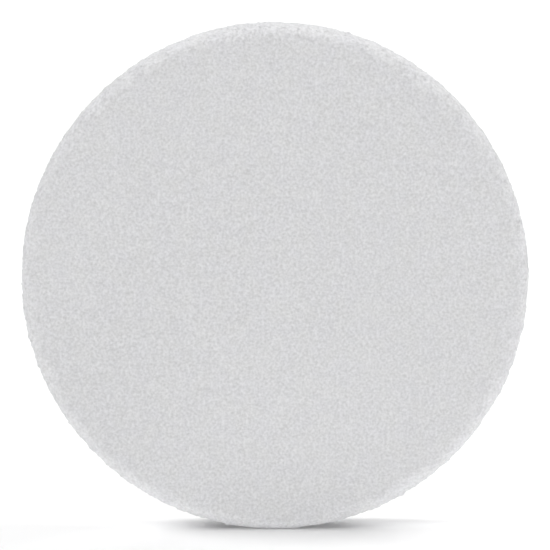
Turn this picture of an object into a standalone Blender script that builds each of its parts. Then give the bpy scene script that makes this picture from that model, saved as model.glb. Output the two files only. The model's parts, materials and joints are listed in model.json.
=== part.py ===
"""A felt polishing wheel: a thick felt disc with a hook-and-loop backing.

The wheel stands upright on its rim. Its centre is the origin, it spins about Y, its polishing face looks
along -Y, its loop backing looks along +Y, and +Z is up. Sizes are in metres.

Run with: blender --background --python part.py
"""

from math import cos, pi, sin

import bpy

# Driving dimensions
WHEEL_DIAMETER = 0.150
OVERALL_THICKNESS = 0.025
FILM_THICKNESS = 0.0004
BACKING_THICKNESS = 0.0018
FRONT_SHOULDER_RADIUS = 0.004
REAR_EDGE_RADIUS = 0.0012
BACKING_EDGE_RADIUS = 0.0004
FILM_INSET = 0.0010
BACKING_INSET = 0.0006
JOINT_GAP = 0.0003

# Worked out from them. Depth is measured from the polishing face, into the wheel.
FELT_THICKNESS = OVERALL_THICKNESS - FILM_THICKNESS - BACKING_THICKNESS - 2 * JOINT_GAP
FILM_DEPTH = FELT_THICKNESS + JOINT_GAP
BACKING_DEPTH = FILM_DEPTH + FILM_THICKNESS + JOINT_GAP

# Facets
TURN_STEPS = 120
SHOULDER_STEPS = 8
EDGE_STEPS = 4
MERGE_DISTANCE = 0.00001

COLLECTION_NAME = "felt_polishing_wheel"


def clear_scene():
    for old in list(bpy.data.objects):
        bpy.data.objects.remove(old, do_unlink=True)


def make_collection(name):
    collection = bpy.data.collections.new(name)
    bpy.context.scene.collection.children.link(collection)
    return collection


def make_material(name, colour, roughness):
    material = bpy.data.materials.new(name)
    material.use_nodes = True
    shader = material.node_tree.nodes["Principled BSDF"]
    shader.inputs["Base Color"].default_value = (*colour, 1.0)
    shader.inputs["Roughness"].default_value = roughness
    shader.inputs["Metallic"].default_value = 0.0
    return material


def rounded_corner(radius, height, corner_radius, start_angle, steps):
    """Points of a quarter circle about (radius, height), turning clockwise from start_angle."""
    points = []
    for step in range(steps + 1):
        angle = start_angle - step / steps * pi / 2
        points.append((radius + corner_radius * cos(angle), height + corner_radius * sin(angle)))
    return points


def disc_profile(radius, front_depth, thickness, front_round, rear_round, round_steps):
    """Half section of a disc as (radius, height), from the axis at the front face round to the rear one.

    Height is measured towards the polishing face, from the wheel's centre plane.
    """
    front = OVERALL_THICKNESS / 2 - front_depth
    rear = front - thickness
    profile = [(0.0, front)]
    if front_round:
        profile += rounded_corner(radius - front_round, front - front_round, front_round, pi / 2, round_steps)
    else:
        profile.append((radius, front))
    if rear_round:
        profile += rounded_corner(radius - rear_round, rear + rear_round, rear_round, 0.0, EDGE_STEPS)
    else:
        profile.append((radius, rear))
    profile.append((0.0, rear))
    return profile


def turned_disc(name, profile, material, collection):
    """Turns a half section about the wheel's axis, and tips it so that the polishing face looks along -Y."""
    mesh = bpy.data.meshes.new(name)
    vertices = [(radius, 0.0, height) for radius, height in profile]
    edges = [(at, at + 1) for at in range(len(profile) - 1)]
    mesh.from_pydata(vertices, edges, [])
    disc = bpy.data.objects.new(name, mesh)
    collection.objects.link(disc)
    disc.rotation_euler = (pi / 2, 0.0, 0.0)
    disc.data.materials.append(material)
    screw = disc.modifiers.new("turn", "SCREW")
    screw.axis = "Z"
    screw.angle = 2 * pi
    screw.steps = TURN_STEPS
    screw.render_steps = TURN_STEPS
    screw.use_merge_vertices = True
    screw.merge_threshold = MERGE_DISTANCE
    screw.use_smooth_shade = True
    return disc


def make_felt_disc(collection):
    """The thick felt body: a flat working face with a soft shoulder, and a crisper edge at the back."""
    profile = disc_profile(
        WHEEL_DIAMETER / 2,
        0.0,
        FELT_THICKNESS,
        FRONT_SHOULDER_RADIUS,
        REAR_EDGE_RADIUS,
        SHOULDER_STEPS,
    )
    white_felt = make_material("white_felt", (0.67, 0.67, 0.68), 0.95)
    return turned_disc("felt_disc", profile, white_felt, collection)


def make_bond_film(collection):
    """The hot-melt film between the felt and its backing."""
    profile = disc_profile(WHEEL_DIAMETER / 2 - FILM_INSET, FILM_DEPTH, FILM_THICKNESS, 0.0, 0.0, EDGE_STEPS)
    adhesive = make_material("adhesive_film", (0.62, 0.60, 0.54), 0.35)
    return turned_disc("bond_film", profile, adhesive, collection)


def make_loop_backing(collection):
    """The knitted loop fabric that a hook-faced backing plate grips."""
    profile = disc_profile(
        WHEEL_DIAMETER / 2 - BACKING_INSET,
        BACKING_DEPTH,
        BACKING_THICKNESS,
        0.0,
        BACKING_EDGE_RADIUS,
        EDGE_STEPS,
    )
    loop_fabric = make_material("loop_fabric", (0.58, 0.58, 0.57), 0.9)
    return turned_disc("loop_backing", profile, loop_fabric, collection)


def main():
    clear_scene()
    collection = make_collection(COLLECTION_NAME)
    make_felt_disc(collection)
    make_bond_film(collection)
    make_loop_backing(collection)


main()
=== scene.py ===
"""The looks of a felt polishing wheel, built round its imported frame.

The wheel stands on its rim with its centre at the origin. Its polishing face looks along -Y and its loop
backing along +Y. Lengths are in metres.
"""

import json
import math

import bpy
import numpy as np
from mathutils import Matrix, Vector, noise

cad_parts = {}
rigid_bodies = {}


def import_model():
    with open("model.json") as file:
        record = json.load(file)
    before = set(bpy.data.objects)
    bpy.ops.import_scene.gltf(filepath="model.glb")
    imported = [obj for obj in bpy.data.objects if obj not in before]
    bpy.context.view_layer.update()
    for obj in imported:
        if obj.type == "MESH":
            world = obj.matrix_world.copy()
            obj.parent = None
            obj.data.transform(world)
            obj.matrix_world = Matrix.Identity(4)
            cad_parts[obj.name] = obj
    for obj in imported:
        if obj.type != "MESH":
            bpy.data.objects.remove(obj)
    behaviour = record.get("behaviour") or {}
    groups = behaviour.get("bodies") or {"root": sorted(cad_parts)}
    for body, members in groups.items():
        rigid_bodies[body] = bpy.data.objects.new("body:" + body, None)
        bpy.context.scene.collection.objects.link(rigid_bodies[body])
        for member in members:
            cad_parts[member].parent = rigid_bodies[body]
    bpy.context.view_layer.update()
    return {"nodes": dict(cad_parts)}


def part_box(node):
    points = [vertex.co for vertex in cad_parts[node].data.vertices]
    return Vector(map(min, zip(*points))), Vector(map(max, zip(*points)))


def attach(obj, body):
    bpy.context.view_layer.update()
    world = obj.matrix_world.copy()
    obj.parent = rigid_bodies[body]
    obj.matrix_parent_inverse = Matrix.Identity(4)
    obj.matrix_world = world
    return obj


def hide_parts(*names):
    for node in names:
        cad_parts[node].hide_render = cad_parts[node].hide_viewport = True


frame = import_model()

MM = 0.001

# Stands in for a length of zero where something is divided by it
TINY = 1e-9

# Places that the frame gives
FELT_LOW, FELT_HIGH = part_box("felt_disc")
FILM_LOW, FILM_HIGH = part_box("bond_film")
_, BACKING_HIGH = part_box("loop_backing")
WHEEL_RADIUS = FELT_HIGH.x
BACKING_RADIUS = BACKING_HIGH.x
FRONT = FELT_LOW.y
FLOOR_LEVEL = FELT_LOW.z

# The felt body, which reaches back to the film
FELT_REAR = FILM_LOW.y
SHOULDER_RADIUS = 4.7 * MM
REAR_EDGE_RADIUS = 1.2 * MM
REAR_BAND = 5.0 * MM
REAR_FLAT = 0.2 * MM
FELT_PITCH = 0.58 * MM
FELT_SEED = 11

# The felt's relief as (wavelength, height), from slow unevenness down to single tufts
FELT_RELIEF = (
    (60.0 * MM, 0.10 * MM),
    (9.0 * MM, 0.05 * MM),
    (2.6 * MM, 0.06 * MM),
    (1.3 * MM, 0.10 * MM),
)

# The cut rim is rougher than the pressed face: its own relief is added, and its tufts stand higher
RIM_RELIEF = (
    (3.2 * MM, 0.34 * MM),
    (1.5 * MM, 0.18 * MM),
)
RIM_NAP = 2.6

# The soft foot doesn't reach into the floor
FOOT_CLEARANCE = 0.02 * MM

# The nap: short matted tufts of fibre that lie on the felt, a little sunk in. NAP_ALONG holds the places
# along a tuft, from one end to the other. NAP_BEND and NAP_TWIST are spreads, in radians.
NAP_PIECES = 2
NAP_TUFTS = 11500
NAP_POINTS = 5
NAP_ALONG = np.linspace(-0.5, 0.5, NAP_POINTS)
NAP_LENGTH = (1.2 * MM, 2.6 * MM)
NAP_WIDTH = (0.14 * MM, 0.26 * MM)
NAP_RISE = (0.04 * MM, 0.10 * MM)
NAP_SCATTER = 0.3 * MM
NAP_BEND = 1.3
NAP_TWIST = 1.0
NAP_BLUNTNESS = 0.05
NAP_SINK = 0.02 * MM
RIDGE_SINK = 0.01 * MM
NAP_SEED = 21

# The backing's knitted ground. Its ribbed face is where the normals' y is over REAR_FACING.
GROUND_THICKNESS = 0.5 * MM
GROUND_REAR = FILM_HIGH.y + GROUND_THICKNESS
GROUND_PITCH = 0.7 * MM
RIB_HEIGHT = 0.22 * MM
STITCH_HEIGHT = 0.08 * MM
WALE_PITCH = 1.75 * MM
COURSE_PITCH = 1.3 * MM
REAR_FACING = 0.9
GROUND_SEED = 12

# The backing's loops. LOOP_HEIGHTS are shares of the tallest loop's height, LOOP_TURN and LOOP_SWAY are
# spreads, and LOOP_DROOP is a mean with its spread. A strand's sides are turned from STRAND_REFERENCE, an
# odd direction that no loop quite follows. No loop stands within RIM_MARGIN of the backing's rim.
PILE_PIECES = 3
LOOPS_PER_FOOT = 2
LOOP_POINTS = 6
LOOP_WIDTH = (0.9 * MM, 1.5 * MM)
LOOP_HEIGHTS = (0.65, 1.0)
LOOP_TURN = 0.55
LOOP_SWAY = 0.2
LOOP_DROOP = (-0.45, 0.25)
LOOP_ROUNDNESS = 0.7
LOOP_BOW = 0.15
LOOP_SCATTER = 0.12 * MM
STRAND_RADIUS = 0.085 * MM
STRAND_SIDES = 3
STRAND_REFERENCE = (0.37, 0.61, 0.70)
RIM_MARGIN = 0.3 * MM
PILE_SEED = 13

# How finely curves are cut, and how far a point is nudged out of its row, in shares of the pitch
ARC_STEPS = 24
JITTER = 0.25

# Colours. A pair belongs to the low and the high end of a noise, and the ranges say where those ends are.
FELT_GREYS = ((0.578, 0.578, 0.586), (0.763, 0.763, 0.777))
FELT_TINGES = ((0.995, 0.995, 1.0), (1.0, 1.0, 0.993))
FELT_CLOUDS = ((0.985, 0.985, 0.985), (1.0, 1.0, 1.0))
FILM_CREAMS = ((0.56, 0.54, 0.48), (0.68, 0.66, 0.60))
# The knitted ground's greys are darker than its yarn: painted shade beneath and between the loops
GROUND_PAINTED_SHADE_GREYS = ((0.26, 0.26, 0.26), (0.38, 0.38, 0.375))
YARN_GREYS = ((0.64, 0.64, 0.635), (0.92, 0.92, 0.91))
FLOOR_WHITE = (0.95, 0.95, 0.95, 1.0)
NOISE_RANGE = (0.3, 0.7)
GRAIN_RANGE = (0.28, 0.72)
TINGE_RANGE = (0.35, 0.65)

# The camera, whose lens and sensor are in millimetres
CAMERA_DISTANCE = 1.34
CAMERA_ELEVATION = math.radians(5.4)
CAMERA_LENS = 294.0
CAMERA_SENSOR = 36.0
CAMERA_CLIP = (0.01, 50.0)

# The floor, and the sweep at its edge. Inside FLOOR_FLAT its smooth shading stays level.
FLOOR_FLAT = 3.0
FLOOR_RADIUS = 5.0
FLOOR_SIDES = 96
SWEEP_RADIUS = 3.0
SWEEP_ANGLE = math.radians(45)
SWEEP_STEPS = 12

# The studio's soft lights, as (name, azimuth, elevation, angle across, strength), with angles in degrees
FLOOR_LIGHTS = (
    ("floor_key", 260, 40, 28, 2.0),
    ("floor_back", 180, 12, 30, 1.9),
    ("floor_back_right", 135, 40, 40, 1.0),
    ("floor_right", 90, 50, 40, 0.95),
    ("floor_front", 0, 50, 40, 0.8),
)
WHEEL_LIGHTS = (
    ("left_softbox", 270, 50, 40, 1.47),
    ("right_softbox", 90, 50, 40, 1.52),
    ("top_softbox", 0, 90, 40, 1.62),
    ("back_right_fill", 135, 15, 40, 0.5),
    ("back_fill", 180, 0, 30, 1.7),
    ("table_glow", 0, -30, 40, 1.0),
)

# Soft-edged spots, as (name, aim, throw from the lamp to its aim, radius at the aim, power). The first keeps
# the floor beside the wheel white, beyond the soft end of its shadow. The second lifts the wheel's foot.
FLOOR_SPOT = ("floor_spot", Vector((0.112, 0.003, FLOOR_LEVEL)), Vector((0.0, 0.0, -0.5)), 0.075, 2.4)
FOOT_SPOT = ("foot_spot", Vector((0.0, FRONT, FLOOR_LEVEL)), Vector((0.0, 0.4, 0.3)), 0.06, 0.55)


# ---------------------------------------------------------------- node helpers


def new_material(name):
    material = bpy.data.materials.new(name)
    material.use_nodes = True
    tree = material.node_tree
    return material, tree, tree.nodes["Principled BSDF"]


def add(tree, kind, **values):
    """A node of that kind, with its properties or its inputs' values set by name."""
    node = tree.nodes.new(kind)
    for key, value in values.items():
        if hasattr(node, key):
            setattr(node, key, value)
        else:
            node.inputs[key.replace("_", " ").title()].default_value = value
    return node


def object_noise(tree, wavelength, detail, roughness=0.5):
    """Noise whose cells are about one wavelength across on the object."""
    place = add(tree, "ShaderNodeTexCoord")
    texture = add(tree, "ShaderNodeTexNoise", scale=1.0 / wavelength, detail=detail, roughness=roughness)
    tree.links.new(place.outputs["Object"], texture.inputs["Vector"])
    return texture.outputs["Fac"]


def ramp(tree, value, span, colours):
    """Blends a pair of colours as the value runs over a span."""
    node = add(tree, "ShaderNodeValToRGB")
    for stop, position, colour in zip(node.color_ramp.elements, span, colours):
        stop.position = position
        stop.color = (*colour, 1.0)
    tree.links.new(value, node.inputs["Fac"])
    return node.outputs["Color"]


def rescale(tree, value, new_low, new_high):
    """Maps a noise's usual range onto a new one."""
    low, high = NOISE_RANGE
    node = add(tree, "ShaderNodeMapRange", from_min=low, from_max=high, to_min=new_low, to_max=new_high)
    tree.links.new(value, node.inputs["Value"])
    return node.outputs["Result"]


def multiply(tree, first, second):
    """The product of two colours."""
    node = add(tree, "ShaderNodeMix", data_type="RGBA", blend_type="MULTIPLY", factor=1.0)
    tree.links.new(first, node.inputs["A"])
    tree.links.new(second, node.inputs["B"])
    return node.outputs["Result"]


def bump(tree, height, depth, under=None):
    """A normal that follows the height, laid over another normal where one is given."""
    node = add(tree, "ShaderNodeBump", strength=1.0, distance=depth)
    tree.links.new(height, node.inputs["Height"])
    if under is not None:
        tree.links.new(under, node.inputs["Normal"])
    return node.outputs["Normal"]


# ---------------------------------------------------------------- materials


def felt_material():
    """Pressed white felt: a grain of fine tufts, faint warm and cool clouds, no gloss and a soft sheen."""
    material, tree, shader = new_material("white_felt")
    grain = object_noise(tree, wavelength=0.79 * MM, detail=2.0, roughness=0.6)
    tinge = object_noise(tree, wavelength=6.0 * MM, detail=1.0)
    clouds = object_noise(tree, wavelength=2.4 * MM, detail=2.0)
    tufts = object_noise(tree, wavelength=1.0 * MM, detail=2.0, roughness=0.6)
    grain_tone = ramp(tree, grain, GRAIN_RANGE, FELT_GREYS)
    tinge_tone = ramp(tree, tinge, TINGE_RANGE, FELT_TINGES)
    cloud_tone = ramp(tree, clouds, NOISE_RANGE, FELT_CLOUDS)
    colour = multiply(tree, multiply(tree, grain_tone, tinge_tone), cloud_tone)
    tree.links.new(colour, shader.inputs["Base Color"])
    tree.links.new(rescale(tree, grain, 0.98, 0.9), shader.inputs["Roughness"])
    tufted = bump(tree, tufts, depth=0.12 * MM)
    tree.links.new(bump(tree, grain, depth=0.06 * MM, under=tufted), shader.inputs["Normal"])
    shader.inputs["Specular IOR Level"].default_value = 0.15
    shader.inputs["Sheen Weight"].default_value = 0.25
    shader.inputs["Sheen Roughness"].default_value = 0.5
    return material


def film_material():
    """Milky hot-melt film, squeezed out unevenly."""
    material, tree, shader = new_material("adhesive_film")
    cloudy = object_noise(tree, wavelength=2.0 * MM, detail=3.0)
    tree.links.new(ramp(tree, cloudy, NOISE_RANGE, FILM_CREAMS), shader.inputs["Base Color"])
    tree.links.new(rescale(tree, cloudy, 0.45, 0.3), shader.inputs["Roughness"])
    tree.links.new(bump(tree, cloudy, depth=0.05 * MM), shader.inputs["Normal"])
    return material


def ground_material():
    """The knitted ground, coloured dark grey below the paler loops: painted shade beneath and between the
    loops, not the yarn's own tone.
    """
    material, tree, shader = new_material("knitted_ground_painted_shade")
    yarn = object_noise(tree, wavelength=0.5 * MM, detail=2.0)
    # Dark greys here are painted shade under the loops
    tree.links.new(ramp(tree, yarn, NOISE_RANGE, GROUND_PAINTED_SHADE_GREYS), shader.inputs["Base Color"])
    tree.links.new(rescale(tree, yarn, 0.95, 0.8), shader.inputs["Roughness"])
    tree.links.new(bump(tree, yarn, depth=0.08 * MM), shader.inputs["Normal"])
    shader.inputs["Sheen Weight"].default_value = 0.2
    return material


def pile_material():
    """Nylon loops: yarns of uneven light grey, with a slight lustre."""
    material, tree, shader = new_material("loop_pile")
    shade = object_noise(tree, wavelength=0.9 * MM, detail=2.0, roughness=0.6)
    fibres = object_noise(tree, wavelength=0.12 * MM, detail=1.0)
    tree.links.new(ramp(tree, shade, NOISE_RANGE, YARN_GREYS), shader.inputs["Base Color"])
    tree.links.new(rescale(tree, shade, 0.65, 0.45), shader.inputs["Roughness"])
    tree.links.new(bump(tree, fibres, depth=0.02 * MM), shader.inputs["Normal"])
    shader.inputs["Sheen Weight"].default_value = 0.2
    return material


def floor_material():
    """The floor's plain matt white."""
    material, _, shader = new_material("white_sweep")
    shader.inputs["Base Color"].default_value = FLOOR_WHITE
    shader.inputs["Roughness"].default_value = 0.9
    shader.inputs["Specular IOR Level"].default_value = 0.0
    return material


# ---------------------------------------------------------------- turned surfaces


def arc(centre_r, centre_y, radius, start):
    """A quarter circle of a half section, as (radius, y), turning from start towards the rear."""
    angles = start + np.linspace(0.0, math.pi / 2, ARC_STEPS + 1)
    return np.stack([centre_r + radius * np.sin(angles), centre_y - radius * np.cos(angles)], axis=1)


def spaced_rows(outline, pitch):
    """Points one pitch apart along a half section, with their outward normals."""
    steps = np.linalg.norm(np.diff(outline, axis=0), axis=1)
    along = np.concatenate([[0.0], np.cumsum(steps)])
    at = np.linspace(0.0, along[-1], round(along[-1] / pitch) + 1)
    rows = np.stack([np.interp(at, along, outline[:, k]) for k in range(2)], axis=1)
    run = np.gradient(rows, axis=0)
    run /= np.linalg.norm(run, axis=1)[:, None]
    return rows, np.stack([run[:, 1], -run[:, 0]], axis=1)


def ring(row, normal, count, pitch, rng):
    """A ring of points about Y with their outward normals, nudged along the surface so that no rows show."""
    radius, y = row
    across, along = normal
    nudge = JITTER if count > 1 else 0.0
    angles = (np.arange(count) + rng.uniform(-nudge, nudge, count)) * 2 * math.pi / count
    shift = rng.uniform(-nudge, nudge, count) * pitch
    x, z = np.cos(angles), np.sin(angles)
    radii = radius - shift * along
    points = np.stack([radii * x, y + shift * across, radii * z], axis=1)
    normals = np.stack([across * x, np.full(count, along), across * z], axis=1)
    return points, normals


def bridge(first, first_count, second, second_count):
    """Triangles between two rings of points, walked round by angle; a ring of one point is a centre."""
    faces = []
    at_first = at_second = 0
    while at_first < first_count or at_second < second_count:
        from_first = first + at_first % first_count
        from_second = second + at_second % second_count
        if (at_first + 1) * second_count <= (at_second + 1) * first_count:
            at_first += 1
            corner = first + at_first % first_count
        else:
            at_second += 1
            corner = second + at_second % second_count
        if len({from_first, corner, from_second}) == 3:
            faces.append((from_first, corner, from_second))
    return faces


def turned_mesh(outline, pitch, rng):
    """A surface turned about Y with points about one pitch apart. Its last row closes onto the axis.

    Gives the points, their outward normals and the triangles.
    """
    rows, row_normals = spaced_rows(outline, pitch)
    counts = [max(1, round(2 * math.pi * radius / pitch)) for radius, _ in rows]
    rings = [ring(row, normal, count, pitch, rng) for row, normal, count in zip(rows, row_normals, counts)]
    rings.append((np.array([[0.0, rows[-1][1], 0.0]]), np.array([[0.0, row_normals[-1][1], 0.0]])))
    counts.append(1)
    starts = np.cumsum([0] + counts).tolist()
    faces = []
    for at in range(len(counts) - 1):
        faces += bridge(starts[at], counts[at], starts[at + 1], counts[at + 1])
    points, normals = (np.concatenate(part) for part in zip(*rings))
    return points, normals, faces


def wheel_piece(name, points, faces, material, node):
    """A smooth mesh that shows a CAD node, or a share of it."""
    mesh = bpy.data.meshes.new(name)
    mesh.from_pydata(points.tolist(), [], faces)
    mesh.shade_smooth()
    mesh.materials.append(material)
    piece = bpy.data.objects.new(name, mesh)
    bpy.context.scene.collection.objects.link(piece)
    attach(piece, "root")
    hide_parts(node)
    return piece


# ---------------------------------------------------------------- felt


def rim_share(points):
    """0 on the flat face, rising over the shoulder to 1 on the rim."""
    past_face = np.hypot(points[..., 0], points[..., 2]) - (WHEEL_RADIUS - SHOULDER_RADIUS)
    return np.clip(past_face / SHOULDER_RADIUS, 0.0, 1.0)


def summed_noise(point, waves):
    """Noise of several (wavelength, height) pairs together."""
    return sum(height * noise.noise(point / wavelength) for wavelength, height in waves)


def relief(points):
    """Heights of the felt's surface above its smooth shape."""
    shares = rim_share(points)
    heights = np.array([summed_noise(Vector(point), FELT_RELIEF) for point in points])
    for at in np.flatnonzero(shares):
        heights[at] += shares[at] * summed_noise(Vector(points[at]), RIM_RELIEF)
    return heights


def settle(points):
    """Flattens what would reach into the floor, as soft felt does where it stands."""
    points[:, 2] = np.maximum(points[:, 2], FLOOR_LEVEL + FOOT_CLEARANCE)
    return points


def felt_outline():
    """Half section of the felt: polishing face, soft shoulder, rim, rear edge and a band of the rear face."""
    flat = np.array([[0.0, FRONT]])
    shoulder = arc(WHEEL_RADIUS - SHOULDER_RADIUS, FRONT + SHOULDER_RADIUS, SHOULDER_RADIUS, 0.0)
    edge = arc(WHEEL_RADIUS - REAR_EDGE_RADIUS, FELT_REAR - REAR_EDGE_RADIUS, REAR_EDGE_RADIUS, math.pi / 2)
    band = np.array([[WHEEL_RADIUS - REAR_BAND, FELT_REAR]])
    return np.concatenate([flat, shoulder, edge, band])


def make_felt(material):
    """The thick felt body, flat where the film bonds it. Gives the points that nap may grow from."""
    points, normals, faces = turned_mesh(felt_outline(), FELT_PITCH, np.random.default_rng(FELT_SEED))
    heights = relief(points)
    heights[points[:, 1] > FELT_REAR - REAR_FLAT] = 0.0
    surface = settle(points + normals * heights[:, None])
    felt = wheel_piece("felt_body", surface, faces, material, "felt_disc")
    return points[points[:, 1] < FELT_REAR - 2 * REAR_EDGE_RADIUS]


# ---------------------------------------------------------------- nap


def on_felt(points):
    """The nearest points of the felt's smooth face, shoulder and rim, and the outward normals there."""
    radius = np.hypot(points[:, 0], points[:, 2])
    outward = points[:, (0, 2)] / np.maximum(radius, TINY)[:, None]
    core_radius, core_front = WHEEL_RADIUS - SHOULDER_RADIUS, FRONT + SHOULDER_RADIUS
    across = np.maximum(radius - core_radius, 0.0)
    ahead = np.maximum(core_front - points[:, 1], 0.0)
    reach = np.maximum(np.hypot(across, ahead), TINY)
    across, ahead = across / reach, ahead / reach
    on_radius = np.where(across > 0.0, core_radius + SHOULDER_RADIUS * across, radius)
    on_y = np.where(ahead > 0.0, core_front - SHOULDER_RADIUS * ahead, points[:, 1])
    place = np.stack([outward[:, 0] * on_radius, on_y, outward[:, 1] * on_radius], axis=1)
    normal = np.stack([outward[:, 0] * across, -ahead, outward[:, 1] * across], axis=1)
    return place, normal


def tuft_lines(roots, rng):
    """The middle line of each tuft, which starts near a root and winds over the felt there."""
    picked = roots[rng.choice(len(roots), NAP_TUFTS)]
    start, normal = on_felt(picked + rng.normal(0.0, NAP_SCATTER, (NAP_TUFTS, 3)))
    first = np.cross(normal, rng.normal(0.0, 1.0, (NAP_TUFTS, 3)))
    first /= np.linalg.norm(first, axis=1)[:, None]
    second = np.cross(normal, first)
    length = rng.uniform(*NAP_LENGTH, NAP_TUFTS)[:, None]
    bend = rng.normal(0.0, NAP_BEND, NAP_TUFTS)[:, None]
    twist = rng.normal(0.0, NAP_TWIST, NAP_TUFTS)[:, None]
    turn = bend * NAP_ALONG + twist * np.sin(2 * math.pi * NAP_ALONG) / 2
    ahead = np.cumsum(np.cos(turn), axis=1) * length / NAP_POINTS
    aside = np.cumsum(np.sin(turn), axis=1) * length / NAP_POINTS
    return start[:, None] + first[:, None] * ahead[..., None] + second[:, None] * aside[..., None]


def tuft_points(lines, rng):
    """Three points across each point of each tuft's line: its left foot, its ridge and its right foot."""
    place, up = on_felt(lines.reshape(-1, 3))
    place = (place + up * relief(place)[:, None]).reshape(lines.shape)
    up = up.reshape(lines.shape)
    side = np.cross(up, np.gradient(place, axis=1))
    side /= np.linalg.norm(side, axis=2)[..., None]
    taper = np.cos(math.pi * NAP_ALONG)[:, None]
    half = rng.uniform(*NAP_WIDTH, NAP_TUFTS)[:, None, None] / 2 * np.sqrt(taper + NAP_BLUNTNESS)
    rise = rng.uniform(*NAP_RISE, NAP_TUFTS)[:, None, None] * taper
    rise = rise * (1.0 + (RIM_NAP - 1.0) * rim_share(place))[..., None]
    left = place - side * half - up * NAP_SINK
    ridge = place + up * (rise - RIDGE_SINK)
    right = place + side * half - up * NAP_SINK
    return settle(np.stack([left, ridge, right], axis=2).reshape(-1, 3))


def tuft_faces():
    """Two quads along each step of each tuft, one on either side of its ridge."""
    faces = []
    for tuft in range(NAP_TUFTS):
        for step in range(NAP_POINTS - 1):
            at = (tuft * NAP_POINTS + step) * 3
            faces.append((at, at + 3, at + 4, at + 1))
            faces.append((at + 1, at + 4, at + 5, at + 2))
    return faces


def make_nap(roots, material):
    """Matted tufts: short curved ridges of fibre lying on the felt, which taper into it at both ends."""
    rng = np.random.default_rng(NAP_SEED)
    faces = tuft_faces()
    for share in range(NAP_PIECES):
        points = tuft_points(tuft_lines(roots, rng), rng)
        wheel_piece(f"felt_nap_{share + 1}", points, faces, material, "felt_disc")


# ---------------------------------------------------------------- backing


def dress_film():
    """The film's own solid is the right shape, so it only gets its material."""
    material = film_material()
    for slot in frame["nodes"]["bond_film"].material_slots:
        slot.material = material


def knit_height(points):
    """Relief of the knitted ground: ribs along Z, with a stitch in each course."""
    rib = np.abs(np.cos(math.pi * points[:, 0] / WALE_PITCH))
    stitch = 0.5 + 0.5 * np.cos(2 * math.pi * points[:, 2] / COURSE_PITCH)
    return RIB_HEIGHT * rib + STITCH_HEIGHT * stitch


def make_ground():
    """The knitted ground: a thin disc of cloth whose rear face is ribbed."""
    front_side = [[0.0, FILM_HIGH.y], [BACKING_RADIUS, FILM_HIGH.y]]
    rear_side = [[BACKING_RADIUS, GROUND_REAR], [0.0, GROUND_REAR]]
    outline = np.array(front_side + rear_side)
    points, normals, faces = turned_mesh(outline, GROUND_PITCH, np.random.default_rng(GROUND_SEED))
    knitted = normals[:, 1] > REAR_FACING
    points[knitted, 1] += knit_height(points[knitted])
    return wheel_piece("loop_ground", points, faces, ground_material(), "loop_backing")


def loop_feet(rng):
    """Where the loops stand: on the ground's ribs, in each course, a little out of line."""
    feet = []
    wales = int(BACKING_RADIUS / WALE_PITCH) + 1
    courses = int(BACKING_RADIUS / COURSE_PITCH) + 1
    for wale in range(-wales, wales + 1):
        for course in range(-courses, courses + 1):
            x = wale * WALE_PITCH + rng.normal(0.0, LOOP_SCATTER)
            z = (course + 0.5 * (wale % 2)) * COURSE_PITCH + rng.normal(0.0, LOOP_SCATTER)
            if math.hypot(x, z) < BACKING_RADIUS - RIM_MARGIN:
                feet.append(np.array([x, GROUND_REAR, z]))
    return feet


def loop_line(rng, foot, height):
    """One loop of yarn as a short line of points: up out of its foot, over, and back down beside it."""
    turn = rng.normal(0.0, LOOP_TURN)
    across = np.array([math.cos(turn), 0.0, math.sin(turn)])
    lean = np.array([rng.normal(0.0, LOOP_SWAY), 1.0, rng.normal(*LOOP_DROOP)])
    width = rng.uniform(*LOOP_WIDTH)
    share = np.linspace(0.0, 1.0, LOOP_POINTS)[:, None]
    rise = np.sin(math.pi * share) ** LOOP_ROUNDNESS * height
    bow = np.sin(2 * math.pi * share) * width * LOOP_BOW
    return foot + across * ((share - 0.5) * width - bow) + lean * rise


def strand(line):
    """The points of a thin open tube along a line, ring by ring."""
    run = np.gradient(line, axis=0)
    run /= np.linalg.norm(run, axis=1)[:, None]
    side = np.cross(run, STRAND_REFERENCE)
    side /= np.linalg.norm(side, axis=1)[:, None]
    other = np.cross(run, side)
    angles = np.arange(STRAND_SIDES)[:, None] * 2 * math.pi / STRAND_SIDES
    around = side[:, None] * np.cos(angles) + other[:, None] * np.sin(angles)
    return (line[:, None] + around * STRAND_RADIUS).reshape(-1, 3)


def strand_quads():
    """The quads of one strand, counted from its first point."""
    quads = []
    for step in range(LOOP_POINTS - 1):
        for corner in range(STRAND_SIDES):
            here = step * STRAND_SIDES + corner
            beside = step * STRAND_SIDES + (corner + 1) % STRAND_SIDES
            quads.append((here, beside, beside + STRAND_SIDES, here + STRAND_SIDES))
    return np.array(quads)


def make_pile():
    """The loops that hooks catch, as a few pieces of many loops."""
    rng = np.random.default_rng(PILE_SEED)
    tallest = BACKING_HIGH.y - GROUND_REAR - STRAND_RADIUS
    feet = loop_feet(rng)
    material = pile_material()
    pile = []
    for share in range(PILE_PIECES):
        strands = []
        for foot in feet[share::PILE_PIECES]:
            for _ in range(LOOPS_PER_FOOT):
                height = rng.uniform(*LOOP_HEIGHTS) * tallest
                strands.append(strand(loop_line(rng, foot, height)))
        starts = np.arange(len(strands)) * LOOP_POINTS * STRAND_SIDES
        faces = (starts[:, None, None] + strand_quads()).reshape(-1, 4).tolist()
        points = np.concatenate(strands)
        piece = wheel_piece(f"loop_pile_{share + 1}", points, faces, material, "loop_backing")
        pile.append(piece)
    return pile


def make_backing():
    """The loop fabric, as one cloth glued flat to the film: its ground and its loops."""
    ground = make_ground()
    pile = make_pile()


# ---------------------------------------------------------------- stage, light and camera


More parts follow.
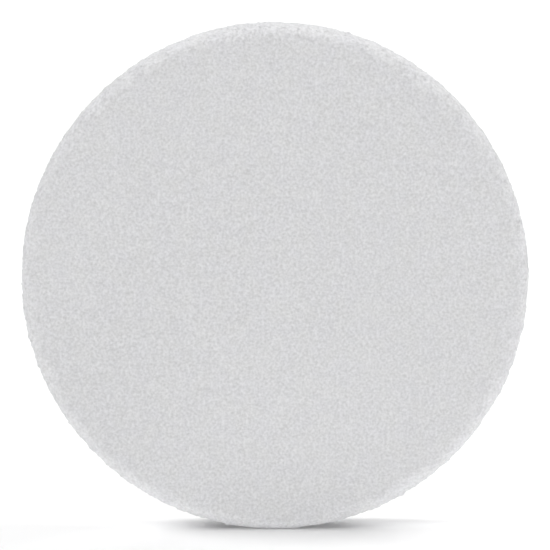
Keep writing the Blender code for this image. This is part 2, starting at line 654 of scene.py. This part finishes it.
def make_floor():
    """A wide white floor whose edge sweeps up all round, so that no view looks past it."""
    profile = [(0.0, 0.0, FLOOR_LEVEL), (FLOOR_FLAT, 0.0, FLOOR_LEVEL)]
    for step in range(SWEEP_STEPS + 1):
        angle = step / SWEEP_STEPS * SWEEP_ANGLE
        out = FLOOR_RADIUS + SWEEP_RADIUS * math.sin(angle)
        profile.append((out, 0.0, FLOOR_LEVEL + SWEEP_RADIUS * (1.0 - math.cos(angle))))
    mesh = bpy.data.meshes.new("floor")
    mesh.from_pydata(profile, [(at, at + 1) for at in range(len(profile) - 1)], [])
    mesh.materials.append(floor_material())
    floor = bpy.data.objects.new("floor", mesh)
    bpy.context.scene.collection.objects.link(floor)
    turn = floor.modifiers.new("turn", "SCREW")
    turn.steps = FLOOR_SIDES
    turn.render_steps = FLOOR_SIDES
    turn.use_merge_vertices = True
    return floor


def soft_light(name, azimuth, elevation, across, strength):
    """A wide, soft, distant light. Azimuth 0 is the camera's side, and it grows towards +X."""
    light = bpy.data.lights.new(name, "SUN")
    light.energy = strength
    light.angle = math.radians(across)
    lamp = bpy.data.objects.new(name, light)
    turn, rise = math.radians(azimuth), math.radians(elevation)
    way = Vector((math.sin(turn) * math.cos(rise), -math.cos(turn) * math.cos(rise), math.sin(rise)))
    lamp.rotation_euler = (-way).to_track_quat("-Z", "Y").to_euler()
    bpy.context.scene.collection.objects.link(lamp)
    return lamp


def soft_spot(name, aim, throw, radius, power):
    """A spot whose light fades smoothly to nothing at its radius round the aim."""
    light = bpy.data.lights.new(name, "SPOT")
    light.energy = power
    light.spot_size = 2 * math.atan2(radius, throw.length)
    light.spot_blend = 1.0
    lamp = bpy.data.objects.new(name, light)
    lamp.location = aim - throw
    lamp.rotation_euler = throw.to_track_quat("-Z", "Y").to_euler()
    bpy.context.scene.collection.objects.link(lamp)
    return lamp


def link_light(lamp, receivers, blockers):
    """Limits what a lamp lights, and what casts shadows in its light."""
    lamp.light_linking.receiver_collection = receivers
    lamp.light_linking.blocker_collection = blockers


def make_lights(floor):
    """Separate lights for the floor and the wheel, which also gets a glow from below, as on a light table."""
    world = bpy.data.worlds.new("dark_room")
    world.use_nodes = True
    world.node_tree.nodes["Background"].inputs["Strength"].default_value = 0.0
    bpy.context.scene.world = world
    lit_floor = bpy.data.collections.new("lit_floor")
    lit_floor.objects.link(floor)
    lit_wheel = bpy.data.collections.new("lit_wheel")
    for piece in bpy.context.scene.objects:
        if piece.type == "MESH" and piece != floor:
            lit_wheel.objects.link(piece)
    link_light(soft_spot(*FLOOR_SPOT), lit_floor, lit_floor)
    link_light(soft_spot(*FOOT_SPOT), lit_wheel, lit_wheel)
    for values in FLOOR_LIGHTS:
        link_light(soft_light(*values), lit_floor, lit_wheel)
    for values in WHEEL_LIGHTS:
        link_light(soft_light(*values), lit_wheel, lit_wheel)


def make_camera():
    """A long lens a little above the level of the wheel's centre, which it looks at."""
    camera = bpy.data.objects.new("camera", bpy.data.cameras.new("camera"))
    camera.data.lens = CAMERA_LENS
    camera.data.sensor_width = CAMERA_SENSOR
    camera.data.clip_start, camera.data.clip_end = CAMERA_CLIP
    back = CAMERA_DISTANCE * math.cos(CAMERA_ELEVATION)
    camera.location = (0.0, -back, CAMERA_DISTANCE * math.sin(CAMERA_ELEVATION))
    camera.rotation_euler = (math.pi / 2 - CAMERA_ELEVATION, 0.0, 0.0)
    bpy.context.scene.collection.objects.link(camera)
    bpy.context.scene.camera = camera


def main():
    make_camera()
    white_felt = felt_material()
    roots = make_felt(white_felt)
    make_nap(roots, white_felt)
    dress_film()
    make_backing()
    make_lights(make_floor())
    bpy.context.scene.view_settings.view_transform = "Standard"


main()
